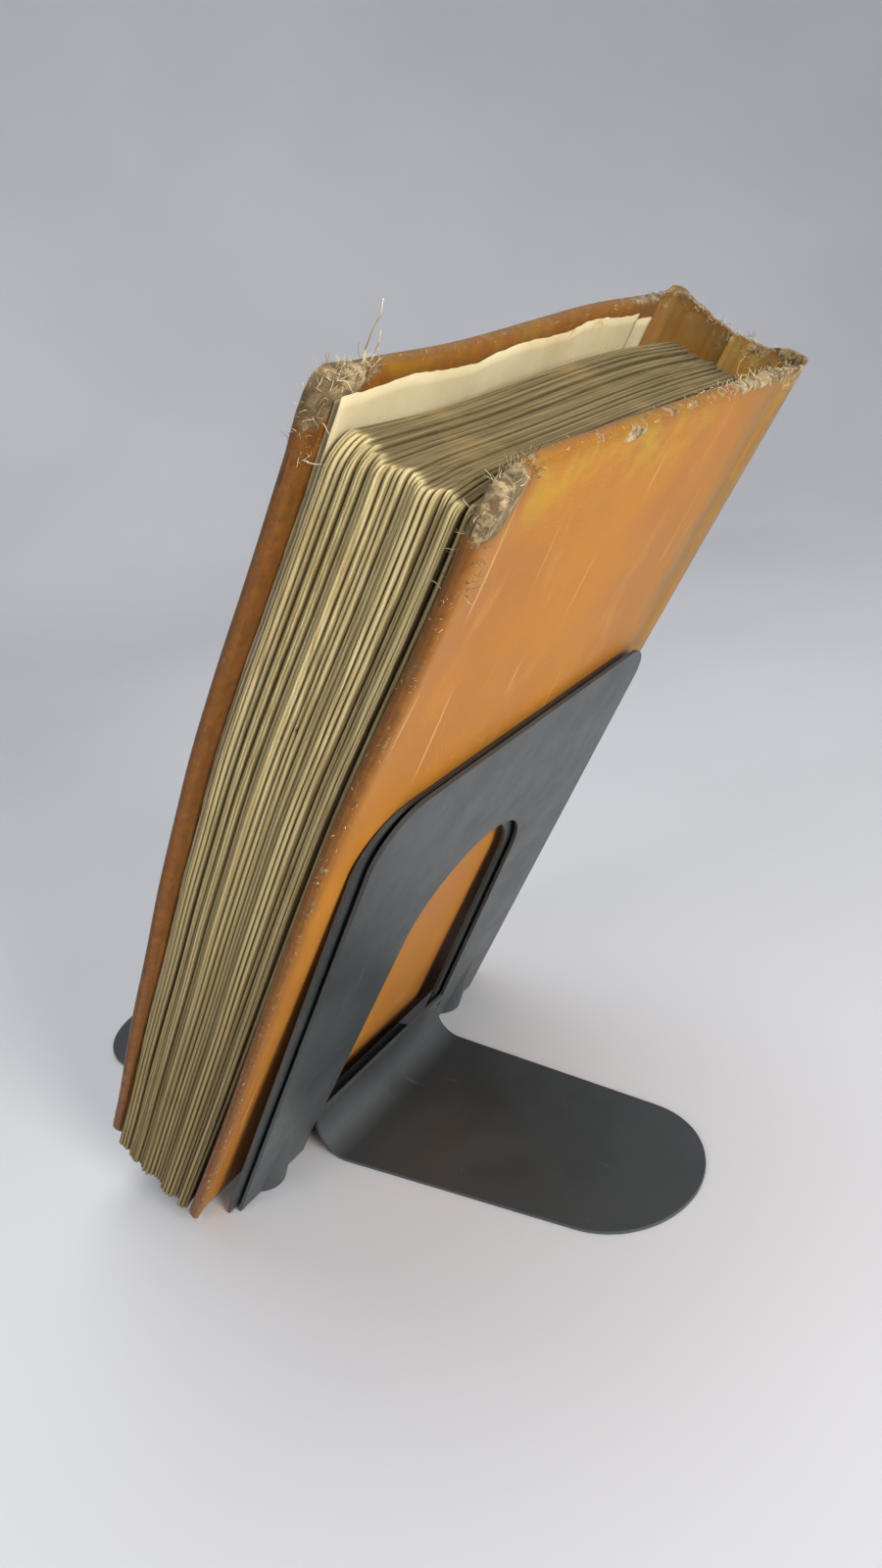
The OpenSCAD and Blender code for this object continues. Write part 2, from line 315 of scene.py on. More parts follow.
def cloth_material():
    """Ochre book cloth: fine weave, toning, scratches, bleached and stained places, fibre where it is worn,
    darker edges, and painted shade on the covers' inner side.
    """
    m, nt, bsdf = material("book_cloth_worn")
    g = G(nt)
    alb = g.attr("alb", "Vector")
    wear, fade, stain, dark = (g.attr(k) for k in ("wear", "fade", "stain", "dark"))
    broad = g.noise(alb, 24, 4, 0.6)
    fine = g.noise(alb, 380, 4, 0.7)
    colour = g.mix(g.step(broad, 0.3, 0.7), rgb(166, 104, 14), rgb(182, 118, 22))
    blotch = g.noise(g.mapping(alb, (1, 1, 0.45), (0.3, 0, 0)), 55, 5, 0.65)
    colour = g.mix(g.step(blotch, 0.56, 0.74, 0, 0.5), colour, rgb(204, 146, 62))
    colour = g.mix(g.step(g.noise(alb, 90, 5, 0.7), 0.58, 0.8, 0, 0.45), colour, rgb(176, 104, 26))
    # long thin scratches along the board
    scr = g.noise(g.mapping(alb, (300, 420, 16), (0.16, 0, 0)), 1.0, 2, 0.5)
    colour = g.mix(g.step(scr, 0.66, 0.74, 0, 0.4), colour, rgb(244, 196, 120))
    scr2 = g.noise(g.mapping(alb, (300, 20, 500), (-0.35, 0, 0)), 1.0, 2, 0.5)
    colour = g.mix(g.step(scr2, 0.68, 0.76, 0, 0.3), colour, rgb(150, 84, 22))
    # bleached strip by the joint and on the spine
    streaks = g.noise(g.mapping(alb, (1, 1, 0.3)), 120, 5, 0.7)
    fade_n = g.math("MULTIPLY", fade, g.step(streaks, 0.25, 0.62), True)
    colour = g.mix(fade_n, colour, rgb(136, 106, 58))
    patches = g.step(g.noise(alb, 60, 4, 0.6), 0.52, 0.68, 0, 0.7)
    colour = g.mix(g.math("MULTIPLY", fade, patches, True), colour, rgb(128, 106, 62))
    # yellow-green stains along the head
    stain_n = g.math("MULTIPLY", stain, g.step(g.noise(alb, 110, 4, 0.6), 0.4, 0.62), True)
    colour = g.mix(g.math("MULTIPLY", stain_n, 0.75), colour, rgb(180, 146, 22))
    # darker turned edges, head and tail ends, and painted shade on the covers' inner side that faces the
    # leaves
    edge_dark_and_painted_shade = g.math("MULTIPLY", dark, g.step(fine, 0.2, 0.7, 0.65, 1.0), True)
    colour = g.mix(edge_dark_and_painted_shade, colour, rgb(88, 54, 18))
    # worn through to grey fibre
    wear_n = g.step(g.math("ADD", wear, g.math("MULTIPLY", g.math("SUBTRACT", fine, 0.5), 0.9)), 0.42, 0.66)
    fibre = g.mix(g.step(g.noise(alb, 520, 3, 0.7), 0.38, 0.6), rgb(96, 82, 56), rgb(196, 176, 132))
    fibre = g.mix(g.math("MULTIPLY", dark, g.step(g.noise(alb, 240, 3, 0.6), 0.36, 0.6, 0.25, 0.85)), fibre,
                  rgb(74, 68, 50))
    colour = g.mix(wear_n, colour, fibre)
    weave_a = g.wave(alb, 620, "Y", 0.6, 2, 8)
    weave_b = g.wave(alb, 620, "Z", 0.6, 2, 8)
    weave = g.math("MULTIPLY", weave_a, weave_b)
    colour = g.mix(g.step(weave, 0.0, 0.6, 0.26, 0.0), colour, rgb(122, 66, 14))
    g.put(bsdf.inputs["Base Color"], colour)
    rough = g.step(broad, 0.2, 0.8, 0.44, 0.62)
    g.put(bsdf.inputs["Roughness"], g.math("ADD", rough, g.math("MULTIPLY", wear_n, 0.3), True))
    bsdf.inputs["Specular IOR Level"].default_value = 0.26
    bsdf.inputs["Sheen Weight"].default_value = 0.04
    bsdf.inputs["Sheen Roughness"].default_value = 0.5
    height = g.math("ADD", g.math("MULTIPLY", weave, 0.25),
                    g.math("MULTIPLY", g.noise(alb, 260, 5, 0.7), 0.7))
    height = g.math("ADD", height, g.math("MULTIPLY", wear_n, g.noise(alb, 900, 3, 0.8)))
    g.put(bsdf.inputs["Normal"], g.bump(height, 0.00028, 0.55))
    return m


def paper_material(name, light, dark, lines):
    """Thick aged paper; its sheets show as fine lines along the thickness of the block, with painted shade
    between the fore edge's crests and towards the tail.
    """
    m, nt, bsdf = material(name)
    g = G(nt)
    alb = g.attr("alb", "Vector")
    fore = g.attr("fore")
    lobe = g.attr("lobe")
    sheets = g.noise(g.mapping(alb, (lines, 26, 9)), 1.0, 3, 0.6)
    sheets2 = g.noise(g.mapping(alb, (lines * 0.42, 9, 9), (0, 0, 0), (3, 1, 2)), 1.0, 2, 0.5)
    colour = g.mix(g.step(sheets, 0.32, 0.66), dark, light)
    colour = g.mix(g.step(sheets2, 0.5, 0.7, 0, 0.45), colour, rgb(112, 96, 60))
    fore_colour = g.mix(g.step(sheets, 0.3, 0.68), rgb(158, 138, 92), rgb(212, 194, 144))
    colour = g.mix(g.math("MULTIPLY", fore, 0.9), colour, fore_colour)
    # painted shade in the hollows between the fore edge's crests and at each leaf's sides
    colour = g.mix(g.step(lobe, 0.25, 0.85, 0.62, 0.0), colour, rgb(74, 60, 34))
    colour = g.mix(g.step(g.noise(alb, 60, 4, 0.6), 0.5, 0.72, 0, 0.35), colour, rgb(150, 124, 76))
    # painted shade: the leaves darken towards the tail
    foot = g.nt.nodes.new("ShaderNodeSeparateXYZ")
    g.put(foot.inputs[0], alb)
    colour = g.mix(g.step(foot.outputs["Z"], 0.235, 0.03, 0.0, 0.62), colour, rgb(92, 74, 44))
    spots = g.voronoi(g.mapping(alb, (1, 1, 0.6)), 210)
    pick = g.noise(alb, 70, 2)
    foxing = g.math("MULTIPLY", g.step(spots, 0.16, 0.05), g.step(pick, 0.60, 0.66, 0, 0.8), True)
    colour = g.mix(foxing, colour, rgb(88, 62, 34))
    g.put(bsdf.inputs["Base Color"], colour)
    bsdf.inputs["Roughness"].default_value = 0.85
    bsdf.inputs["Specular IOR Level"].default_value = 0.2
    height = g.math("ADD", sheets, g.math("MULTIPLY", g.noise(alb, 600, 3, 0.7), 0.3))
    g.put(bsdf.inputs["Normal"], g.bump(height, 0.0002, 0.6))
    return m


def plain_paper_material():
    m, nt, bsdf = material("aged_endpaper")
    g = G(nt)
    alb = g.attr("alb", "Vector")
    colour = g.mix(g.step(g.noise(alb, 30, 4), 0.3, 0.7), rgb(190, 174, 134), rgb(212, 198, 160))
    colour = g.mix(g.step(g.noise(g.mapping(alb, (1, 0.3, 1)), 70, 5, 0.7), 0.5, 0.7, 0, 0.45), colour,
                   rgb(196, 168, 116))
    colour = g.mix(g.step(g.noise(alb, 220, 4, 0.7), 0.62, 0.72, 0, 0.5), colour, rgb(170, 120, 70))
    g.put(bsdf.inputs["Base Color"], colour)
    bsdf.inputs["Roughness"].default_value = 0.8
    bsdf.inputs["Specular IOR Level"].default_value = 0.25
    g.put(bsdf.inputs["Normal"], g.bump(g.noise(alb, 420, 5, 0.7), 0.00012, 0.5))
    return m


def fibre_material(name, a, b):
    m, nt, bsdf = material(name)
    g = G(nt)
    alb = g.attr("alb", "Vector")
    g.put(bsdf.inputs["Base Color"], g.mix(g.step(g.noise(alb, 300, 3), 0.4, 0.62), a, b))
    bsdf.inputs["Roughness"].default_value = 0.8
    bsdf.inputs["Specular IOR Level"].default_value = 0.2
    g.put(bsdf.inputs["Normal"], g.bump(g.noise(alb, 2200, 2), 0.00005, 0.5))
    return m


def steel_material():
    """Grey enamel on pressed sheet steel: faint orange peel, hairline scuffs, dust and a little wear."""
    m, nt, bsdf = material("grey_enamel")
    g = G(nt)
    obj = g.obj()
    broad = g.noise(obj, 16, 4, 0.6)
    colour = g.mix(g.step(broad, 0.3, 0.7), rgb(50, 54, 55), rgb(62, 66, 67))
    scuff = g.noise(g.mapping(obj, (40, 520, 40), (0.2, 0.3, 0.5)), 1.0, 3, 0.6)
    colour = g.mix(g.step(scuff, 0.66, 0.76, 0, 0.28), colour, rgb(110, 114, 114))
    scuff2 = g.noise(g.mapping(obj, (600, 30, 60), (0.1, -0.2, 0.3)), 1.0, 3, 0.6)
    colour = g.mix(g.step(scuff2, 0.68, 0.78, 0, 0.3), colour, rgb(32, 34, 35))
    dust = g.noise(obj, 900, 2, 0.6)
    colour = g.mix(g.step(dust, 0.74, 0.8, 0, 0.5), colour, rgb(170, 170, 166))
    g.put(bsdf.inputs["Base Color"], colour)
    rough = g.step(g.noise(obj, 60, 5, 0.65), 0.3, 0.7, 0.40, 0.54)
    g.put(bsdf.inputs["Roughness"], rough)
    bsdf.inputs["Specular IOR Level"].default_value = 0.5
    bsdf.inputs["Coat Weight"].default_value = 0.12
    bsdf.inputs["Coat Roughness"].default_value = 0.35
    height = g.math("ADD", g.math("MULTIPLY", g.noise(obj, 700, 2, 0.5), 0.6), g.noise(obj, 34, 2))
    g.put(bsdf.inputs["Normal"], g.bump(height, 0.00018, 0.35))
    return m


CLOTH = cloth_material()
LEAF = paper_material("aged_leaves", rgb(126, 110, 76), rgb(92, 79, 53), 2200)
ENDPAPER = plain_paper_material()
STEEL = steel_material()
FIBRE = fibre_material("frayed_fibre", rgb(150, 126, 84), rgb(226, 210, 172))
FIBRE_GREY = fibre_material("worn_fibre", rgb(70, 62, 46), rgb(168, 152, 116))


def use(ob, mat):
    ob.data.materials.clear()
    ob.data.materials.append(mat)
    return ob


# ---------------------------------------------------------------- covers with their joint and half the spine
HEAD_WAVE = Noise(21, 1, 3, 0.16)
CORNER = Noise(33, 3, 4, 0.9)


def path_points(inner):
    """Depth v and inward thickness t along the outer or the inner skin of a cover, joint and half spine."""
    v = [0.0, 0.08, 0.3, 0.7, 1.2, 1.9, 2.8, 4.0]
    v += list(np.arange(5.3, 125.5, 1.3)) + [126.3, 127.2, 127.9]
    t = [1.7 - 1.7 * math.sin(math.acos(max(0.0, 1 - x / 1.7))) if x < 1.7 else 0.0 for x in v]
    pts = list(zip(v, t))
    if inner:
        pts = [(a, SKIN - b) for a, b in pts]
        pts += [(128.0, 1.0), (128.9, 1.9), (129.9, 2.2), (131.2, 1.9), (132.8, 1.3)]
        pts += [(a, 0.9) for a in (134.6, 136.4, 138.2)]
        pts += [(139.2, 1.0), (139.9, 1.4), (140.3, 2.1), (140.4, 3.0)]
        pts += [(140.4, a) for a in (4.5, 6.5, 8.5, 10.5, 12.5, 14.5, 16.5, 18.3, 20.0)]
    else:
        pts += [(128.6, 0.35), (129.4, 1.05), (130.2, 1.3), (131.2, 1.05), (132.8, 0.35)]
        pts += [(a, 0.0) for a in (134.6, 136.4, 138.4)]
        pts += [(139.8, 0.15), (140.9, 0.6), (141.6, 1.5), (142.0, 2.9)]
        pts += [(142.0, a) for a in (4.5, 6.5, 8.5, 10.5, 12.5, 14.5, 16.5, 18.3, 20.0)]
    return np.array(pts)


OUTER, INNER = path_points(False), path_points(True)
assert len(OUTER) == len(INNER)
W_END = np.array([0.0, 0.12, 0.4, 0.85, 1.5, 2.4, 3.6, 5.0])
W_ROWS = np.concatenate([W_END, np.arange(6.6, 233.8, 1.6), COVER_H - W_END[::-1]])


def cover_points(path, far):
    v0, t0 = path[:, 0][:, None], path[:, 1][:, None]
    w0 = W_ROWS[None, :]
    v, t, w = np.broadcast_arrays(v0, t0, w0)
    v, t, w = v.copy(), t.copy(), w.copy()
    end = np.minimum(w, COVER_H - w)
    # rounded head and tail edges
    mid = np.where(v0 < BOARD_END + 0.1, SKIN / 2, 0.45)
    roll = np.sqrt(np.clip(1 - (1 - np.clip(end / 1.5, 0, 1)) ** 2, 0.02, 1))
    on_board = v0 < BOARD_END - 0.05
    t = np.where(on_board, mid + (t - mid) * (0.35 + 0.65 * roll), t)
    # fore corners worn round
    r = 6.0 if far else 7.0
    cut = np.where(end < r, r - np.sqrt(np.clip(r * r - (r - end) ** 2, 0, None)), 0)
    cut = np.where(w > 120, cut, cut * 0.7)
    v = v + cut * np.clip(1 - v / 26, 0, 1)
    # frayed, thickened fore corners
    dist = np.sqrt(np.clip(v, 0, None) ** 2 + end ** 2)
    soft = np.exp(-(dist / 9.0) ** 2) * np.where(w > 120, 1.0, 0.5)
    lump = CORNER(v * 0.9, t * 0.8 + (40 if far else 0), w * 0.9)
    sign = np.where(path is OUTER, -1.0, 1.0)
    t = t + sign * soft * (0.25 + 0.55 * lump)
    v = v - soft * 0.5 * CORNER(w, v, t + 7)
    # the head of the joint and spine is torn and wavy, and the spine bulges between its corners
    on_spine = ss(v0, 126, 137)
    along = np.where(v0 > SPINE_START, t, 0) + (0 if far else 60)
    tear = (1.3 * HEAD_WAVE(along * 1.3 + v0 * 0.35) - 0.4) * on_spine
    cap = 1.8 * np.exp(-((t - 3) / 5) ** 2) - 1.2 * ss(t, 6, 16)
    tear = tear + on_spine * np.where(v0 > SPINE_START + 0.5, cap, 0)
    w = w + ss(w, 214, 240) * tear
    w = w - ss(40 - w, 14, 40) * 0.5 * on_spine * HEAD_WAVE(along * 0.7 + 9) * 0.4
    back = ss(v0, 138.5, 140.2)
    dip = 1.6 * np.sin(np.clip(t / 20, 0, 1) * math.pi * 0.9) - 1.5 * ss(t, 11, 20) * ss(w, 120, 240)
    v = v + back * (dip * 0.9 + 0.25 * HEAD_WAVE(w * 0.13 + t * 0.2))
    # small creases and a gentle cockle in the cloth
    cockle = CORNER(v * 0.06, w * 0.05, 3.0 if far else 9.0)
    t = t + 0.10 * cockle * np.where(path is OUTER, 1, 0) * (t0 < 1)
    if far:
        v = v + 2.2 * (1 - ss(w, 0, 130)) * (1 - ss(v0, 10, 100))
        u = ALBUM_T - t + warp_far(v, w) * (1 - 0.55 * ss(v0, 132, 142) * ss(t, 3, 20))
    else:
        u = t + warp_near(v, w)
    # the two covers' cloths meet in the middle of the spine
    u = np.where(v0 > SPINE_START, u + (SPINE_MID - u) * ss(t, 14, 20), u)
    return np.stack([u, v, w], -1)


def cloth_masks(alb, far, t):
    u, v, w = alb[:, 0], alb[:, 1], alb[:, 2]
    end = np.minimum(np.abs(w), np.abs(COVER_H - w))
    rough = Noise(5, 3, 5, 0.5)(u, v, w)
    on_board = v < 128.5
    edge = np.minimum(np.where(w > 120, end, end + 1.5), np.where(on_board, v, 99))
    wear = np.exp(-(edge / 0.9) ** 2) * 0.40
    corner = np.sqrt((v / 1.55) ** 2 + end ** 2)
    top = w > 120
    wear = np.maximum(wear, np.exp(-(corner / np.where(top, 9.5, 4.5)) ** 4) * (0.9 + 0.25 * rough))
    head = top & (end < 7)
    if not far:
        near_head = np.exp(-(end / 2.4) ** 2) * (0.42 + 0.35 * ss(v, 84, 112) + 0.1 * rough)
        wear = np.maximum(wear, np.where(top, near_head, 0))
        spot = np.exp(-(((v - 51) / 5.5) ** 2 + ((COVER_H - w - 1.5) / 1.8) ** 2))
        wear = np.maximum(wear, spot * 0.85)
    else:
        wear = np.maximum(wear, np.where(top, np.exp(-(end / 1.6) ** 2) * (0.3 + 0.4 * ss(v, 95, 130)), 0))
    line = np.exp(-((v - 0.9) / 0.6) ** 2) * (t < 0.6)
    wear = np.maximum(wear, line * (0.44 + 0.12 * rough))
    joint = np.exp(-((v - 127.5) / 3.5) ** 2)
    spine_edge = np.exp(-((v - 141) / 2.5) ** 2) * (np.abs(t) < 5)
    wear = np.maximum(wear, spine_edge * (0.30 + 0.12 * rough))
    wear = np.maximum(wear, np.where((v > 126) & head, 0.40 + 0.2 * rough, 0))
    fade = np.clip(ss(v, 112, 132) * 0.95 + 0.35 * ss(w, 150, 235) * ss(v, 85, 125) + joint * 0.2, 0, 1)
    stain = np.where(top, np.exp(-((end - 5) / 7.0) ** 2), 0) * ss(v, 6, 14) * (1 - ss(v, 70, 100))
    stain = np.maximum(stain, 0.4 * ss(v, 128, 134) * (0.5 + 0.5 * rough))
    dark = np.exp(-(np.minimum(v, 60) / 2.2) ** 2) * (1.0 if far else 0.8) * on_board
    # painted shade: the inner side of both covers, facing the leaves, is darkened
    dark = np.maximum(dark, np.where(t > 1.2, 0.72, 0) * on_board)
    dark = np.maximum(dark, np.exp(-(end / 1.8) ** 2) * (0.85 if far else 0.5))
    dark = np.maximum(dark, np.where((t > 0.7) & (v < 3.2), 1.0, 0))
    if not far:
        dark = np.maximum(dark, np.where(top, np.exp(-(corner / 10.0) ** 4), 0))
    dark = np.maximum(dark, joint * 0.25 * (0.6 + 0.4 * rough))
    return {"wear": np.clip(wear, 0, 1), "fade": fade, "stain": np.clip(stain, 0, 1),
            "dark": np.clip(dark, 0, 1)}


def cover(name, far):
    outer, inner = cover_points(OUTER, far), cover_points(INNER, far)
    n, m = outer.shape[:2]
    alb = np.concatenate([outer.reshape(-1, 3), inner.reshape(-1, 3)])
    t = np.concatenate([np.repeat(OUTER[:, 1], m), np.repeat(INNER[:, 1], m)])
    faces = strip_faces(n, m) + strip_faces(n, m, n * m, flip=True)
    for i in range(n - 1):
        for j in (0, m - 1):
            a, b = i * m + j, (i + 1) * m + j
            q = (a, b, n * m + b, n * m + a)
            faces.append(q if j else q[::-1])
    for i in (0, n - 1):
        for j in range(m - 1):
            a = i * m + j
            q = (a, a + 1, n * m + a + 1, n * m + a)
            faces.append(q[::-1] if i else q)
    ob = new_object(name, to_world(alb), faces, alb, cloth_masks(alb, far, t))
    outward_normals(ob)
    use(ob, CLOTH)
    return ob


near_cover = cover("near_cover_cloth", False)
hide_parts("near_cloth", "near_board", "near_wing", "near_mull", "near_pastedown")
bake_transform(near_cover)

far_cover = cover("far_cover_cloth", True)
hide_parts("far_cloth", "far_board", "far_wing", "far_mull",
            "spine_cloth", "spine_card", "spine_lining")
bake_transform(far_cover)


# ---------------------------------------------------------------- leaves
def leaf_space(u, v, w):
    """Moves a point of the flat CAD stack into the slumped, pinched block of the old album."""
    near = LEAF_NEAR + warp_near(v, w) * 0.9
    fore = 1 - ss(v, 10, 90)
    gap = (0.5 + 0.8 * ss(w, 60, 200) + 0.3 * ss(w, 206, 234)) * fore
    far = 36.2 + warp_far(v, w) - gap
    s = (u - LEAF_NEAR) / (LEAF_FAR - LEAF_NEAR)
    return near + s * (far - near)


def head_height(s, v):
    """Where the head of the block lies: highest at the near side by the spine, dropped at the fore edge."""
    k = ss(v, 0, 100)
    near = 234.0 + 2.3 * k
    far = 232.3 + 3.6 * k
    return near + (far - near) * ss(s, 0.0, 0.9)


def leaf(i, rng):
    name = f"leaf_{i:02d}"
    section, place = (i - 1) // SECTION_LEAVES, (i - 1) % SECTION_LEAVES
    fore_pitch, spine_pitch = STACK_FORE_T / SECTIONS, STACK_SPINE_T / SECTIONS
    ft, st = fore_pitch - 0.12, spine_pitch * LEAF_FILL
    fm = STACK_NEAR + (section + 0.5) * fore_pitch
    sm = STACK_NEAR + (section + 0.5) * spine_pitch
    f0 = fm - ft / 2 + place * ft / SECTION_LEAVES + 0.03
    f1 = f0 + ft / SECTION_LEAVES - 0.06
    s0 = sm - st / 2 + place * st / SECTION_LEAVES + 0.04
    s1 = s0 + st / SECTION_LEAVES - 0.08
    # the sheets show as one or two rounded crests along the leaf's fore edge
    lobes = int(rng.integers(1, 3))
    K = 9
    cuts = np.sort(rng.uniform(0.3, 0.7, lobes - 1))
    limits = np.concatenate([[0], cuts, [1]])
    x = np.linspace(0, 1, K)
    local = np.clip(np.searchsorted(limits, x, side="right") - 1, 0, lobes - 1)
    span = limits[local + 1] - limits[local]
    y = (x - limits[local]) / span
    crown = np.sqrt(np.clip(1 - (2 * y - 1) ** 2, 0, 1))
    depth = rng.uniform(-0.4, 0.6, lobes)[local] + float(np.clip(rng.normal(0, 0.4), -0.7, 0.7))
    wave = Noise(100 + i, 1, 4, 0.05)
    V = np.concatenate([[0.0, 0.5, 1.3, 2.5, 4.5, 8.0], np.linspace(13, 115.4, 12)])
    frac = np.concatenate([[0.0, 0.0006, 0.0018, 0.005], np.linspace(0.014, 0.955, 66),
                           [0.965, 0.975, 0.984, 0.991, 0.9955, 0.9985, 1.0]])
    J, N = len(V), len(frac)
    xx, vv, ff = np.meshgrid(x, V, frac, indexing="ij")
    s = (f0 + (f1 - f0) * x - STACK_NEAR) / STACK_FORE_T
    s3 = np.broadcast_to(s[:, None, None], xx.shape)
    depth3 = np.broadcast_to(depth[:, None, None], vv.shape)
    crown3 = np.broadcast_to(crown[:, None, None], vv.shape)
    top = head_height(s3, vv) + 0.35 * wave(i * 3.0 + 0 * vv) + 0.25 * depth3
    top = top + 0.25 * crown3 - 0.2
    w = 0.35 + 0.25 * np.abs(wave(i + 0 * vv)) + ff * (top - 0.6)
    # the fore edge: crowned lobes at their own depths, drifting along the height
    drift = 0.22 * wave(w * 0.35) + 0.35 * wave(w * 0.12 + 40)
    fore = 1.1 + 1.3 * ss(w, 0, 70) + depth3 + drift
    fore = fore + (1 - crown3) * 0.75
    # corners at head and tail are rounded; the far leaves roll back at the head
    roll = 2.0 + 4.5 * ss(s3, 0.55, 1.0)
    down = np.clip(1 - (top - w) / roll, 0, 1)
    fore = fore + roll * 0.8 * (1 - np.sqrt(np.clip(1 - down ** 2, 0, 1)))
    foot = np.clip(1 - w / 2.0, 0, 1)
    fore = fore + 1.2 * (1 - np.sqrt(np.clip(1 - foot ** 2, 0, 1)))
    v = vv + fore * np.clip(1 - vv / 40, 0, 1) + (STACK_D - V[-1]) * vv / V[-1]
    part = np.clip(v / STACK_D, 0, 1)
    u = (f0 + (f1 - f0) * xx) * (1 - part) + (s0 + (s1 - s0) * xx) * part
    u = leaf_space(u, v, w)
    u = u + 0.14 * wave(w * 0.16 + 80) * (1 - part)
    grid = np.stack([u, v, w], -1)
    fore_mask = np.exp(-(vv / 1.0) ** 2)
    # where the fore edge gets painted shade: low between the crests and at the leaf's sides
    lobe_gap_shade_mask = np.broadcast_to((crown ** 0.7)[:, None, None], vv.shape) * fore_mask + (1 - fore_mask)
    edge_x = 1 - np.abs(2 * xx - 1) ** 6
    lobe_gap_shade_mask = np.minimum(lobe_gap_shade_mask, 0.35 + 0.65 * edge_x)
    # outer shell of the grid
    index, pts, att = {}, [], []
    faces = []

    def vid(a, b, c):
        key = (a, b, c)
        if key not in index:
            index[key] = len(pts)
            pts.append(grid[a, b, c])
            att.append((fore_mask[a, b, c], lobe_gap_shade_mask[a, b, c]))
        return index[key]

    def patch(pa, pb, make):
        for a in range(pa - 1):
            for b in range(pb - 1):
                faces.append((vid(*make(a, b)), vid(*make(a + 1, b)),
                              vid(*make(a + 1, b + 1)), vid(*make(a, b + 1))))

    patch(K, N, lambda a, b: (a, 0, b))
    patch(K, N, lambda a, b: (a, J - 1, b))
    patch(J, N, lambda a, b: (0, a, b))
    patch(J, N, lambda a, b: (K - 1, a, b))
    patch(K, J, lambda a, b: (a, b, 0))
    patch(K, J, lambda a, b: (a, b, N - 1))
    pts, att = np.array(pts), np.array(att)
    ob = new_object(name + "_aged", to_world(pts), faces, pts, {"fore": att[:, 0], "lobe": att[:, 1]})
    outward_normals(ob)
    use(ob, LEAF)
    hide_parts(name)
    body = "page_block" if section == 0 else f"section_{section + 1}"
    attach(ob, body)
    return ob


leaf_rng = np.random.default_rng(77)
for number in range(1, SECTIONS * SECTION_LEAVES + 1):
    leaf(number, leaf_rng)


# ---------------------------------------------------------------- endpapers
def paper_sheet(name, u_of, v_range, w_range, nodes, body, thick=0.25, ragged=0.0, seed=1, nv=70, nw=110):
    wave = Noise(seed, 1, 5, 0.14)
    V = np.linspace(*v_range, nv)
    F = np.linspace(0, 1, nw)
    vv, ff = np.meshgrid(V, F, indexing="ij")
    top = w_range[1] + ragged * (wave(vv) - 0.3)
    w = w_range[0] + ff * (top - w_range[0])
    v = vv + 0.3 * wave(w + 50) * np.exp(-((vv - v_range[0]) / 2.0) ** 2)
    u = u_of(v, w)
    a = np.stack([u, v, w], -1).reshape(-1, 3)
    b = np.stack([u + thick, v, w], -1).reshape(-1, 3)
    k = nv * nw
    faces = strip_faces(nv, nw) + strip_faces(nv, nw, k, flip=True)
    for i in range(nv - 1):
        for j in (0, nw - 1):
            p, q = i * nw + j, (i + 1) * nw + j
            faces.append((p, q, k + q, k + p))
    for i in (0, nv - 1):
        for j in range(nw - 1):
            p = i * nw + j
            faces.append((p, p + 1, k + p + 1, k + p))
    alb = np.concatenate([a, b])
    ob = new_object(name, to_world(alb), faces, alb)
    outward_normals(ob)
    use(ob, ENDPAPER)
    if nodes:
        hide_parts(*nodes)
    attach(ob, body)
    return ob


def far_inner(v, w):
    return ALBUM_T - SKIN + warp_far(v, w)


paper_sheet("far_pastedown_aged", lambda v, w: far_inner(v, w) - 0.32, (4.5, 126.5), (4, 236.0),
            ["far_pastedown"], "far_cover", 0.25, 0.4, 61)
paper_sheet("far_flyleaf_aged",
            lambda v, w: far_inner(v, w) - 0.75 - (1 - ss(v, 6, 60)) * (0.5 + 0.6 * ss(w, 120, 225)),
            (3.6, 117.0), (0.6, 238.0), ["far_flyleaf"], "far_cover", 0.25, 0.7, 62)
paper_sheet("near_pastedown_aged", lambda v, w: SKIN + warp_near(v, w) + 0.06, (4.5, 126.5), (4, 236.0),
            [], "near_cover", 0.2, 0.4, 63)
paper_sheet("near_flyleaf_aged", lambda v, w: SKIN + warp_near(v, w) + 0.34, (5.5, 117.5), (0.6, 226.0),
            ["near_flyleaf"], "page_block", 0.2, 0.5, 64)


# ---------------------------------------------------------------- frayed threads
def fibres(name, body, mat, count, seed, root, spread, lean, length,
           radius=(0.05, 0.11), curl=0.5, extra=()):
    """Loose fibres that grow from points given by root(rng) and wander off."""
    rng = np.random.default_rng(seed)
    paths, radii = [], []
    for _ in range(count):
        p = np.array(root(rng), float)
        d = np.array(lean, float) + rng.normal(0, spread, 3)
        d /= np.linalg.norm(d)
        L = rng.uniform(*length)
        steps = 8
        pts = [p.copy()]
        for _ in range(steps):
            d = d + rng.normal(0, curl, 3) * 0.5
            d /= np.linalg.norm(d)
            p = p + d * L / steps
            pts.append(p.copy())
        paths.append(pts)
        radii.append(rng.uniform(*radius))
    for pts, r in extra:
        paths.append(pts)
        radii.append(r)
    ob = tubes(name, paths, radii)
    use(ob, mat)
    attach(ob, body)
    return ob


def near_corner_root(rng):
    a = rng.uniform(0, 1) ** 0.8
    v, w = ((rng.uniform(1.5, 3.5), COVER_H - 4 - 16 * a) if rng.random() < 0.5
            else (3 + 15 * a, COVER_H - 1.2))
    return rng.uniform(0.2, SKIN) + warp_near(v, w), v, w


fibres("near_corner_fray", "near_cover", FIBRE_GREY, 170, 5, near_corner_root, 0.9,
       (-0.3, -0.4, 0.8), (1.2, 3.8))
fibres("near_corner_fluff", "near_cover", FIBRE, 90, 6, near_corner_root, 0.9,
       (-0.4, -0.3, 0.7), (1.0, 3.4))


def far_corner_root(rng):
    a = rng.uniform(0, 1)
    v, w = ((rng.uniform(1.2, 3.0), COVER_H - 3 - 12 * a) if rng.random() < 0.4
            else (2.5 + 11 * a, COVER_H - 1.2))
    return ALBUM_T - rng.uniform(0.2, SKIN) + warp_far(v, w), v, w


